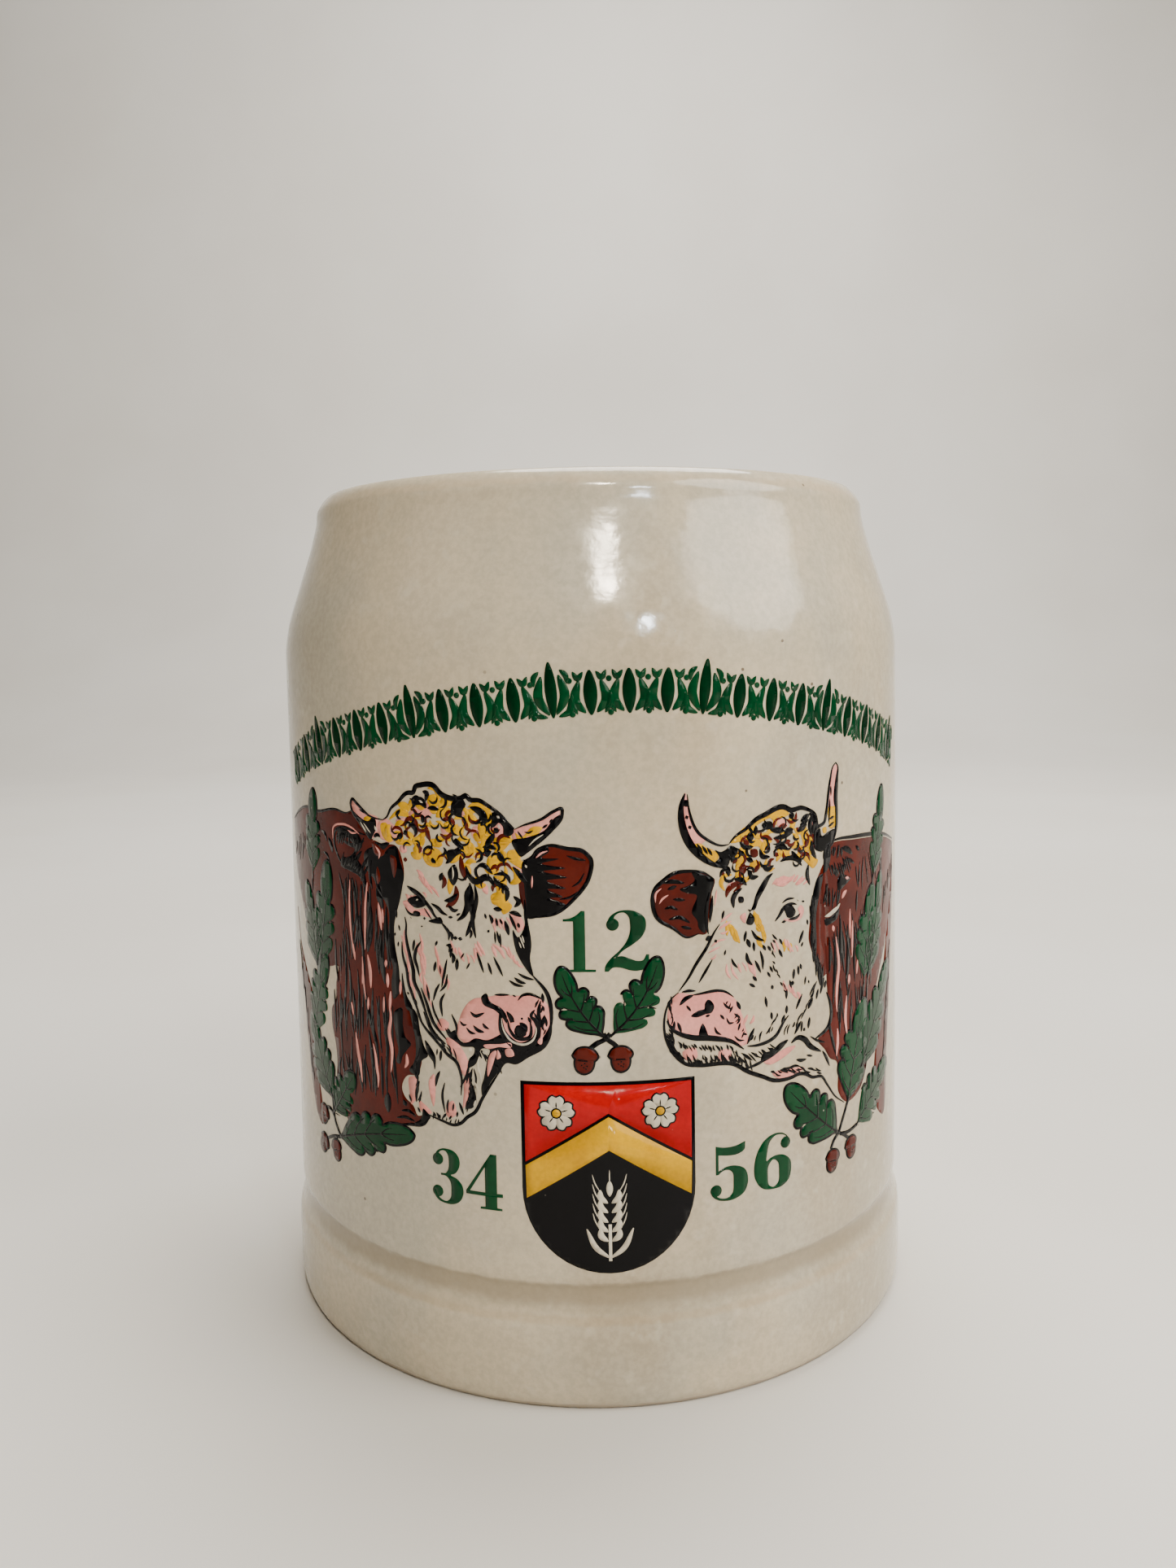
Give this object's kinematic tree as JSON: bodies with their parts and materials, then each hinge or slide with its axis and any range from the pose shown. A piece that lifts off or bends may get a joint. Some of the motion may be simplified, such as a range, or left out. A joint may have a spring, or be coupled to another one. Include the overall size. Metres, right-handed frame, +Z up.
{
  "type": "beer stein",
  "caption": "Lidless stoneware beer mug with a closed-in neck, a moulded foot band, an ear-shaped handle and a fired-on print of cattle heads, oak leaves and a shield.",
  "frame": {"origin": "centre of the foot ring, on the plane the mug stands on", "axes": "+Z up along the mug's axis, -Y the decorated front, +Y the handle"},
  "size_m": [0.0994, 0.14, 0.1235],
  "materials": {
    "stoneware_glaze": "gloss",
    "green_enamel": "gloss",
    "brown_enamel": "gloss",
    "red_enamel": "gloss",
    "yellow_enamel": "gloss",
    "pink_enamel": "gloss",
    "black_enamel": "gloss",
    "white_enamel": "gloss"
  },
  "bodies": {
    "root": {"body": "stoneware_glaze", "handle": "stoneware_glaze", "upper_lute": "stoneware_glaze", "lower_lute": "stoneware_glaze", "left_bull_print": "brown_enamel", "right_bull_print": "brown_enamel", "left_oak_branch_print": "green_enamel", "right_oak_branch_print": "green_enamel", "scroll_band_print": "green_enamel", "centre_sprig_print": "green_enamel", "shield_print": "red_enamel", "upper_figures_print": "green_enamel", "left_figures_print": "green_enamel", "right_figures_print": "green_enamel"}
  },
  "joints": []
}
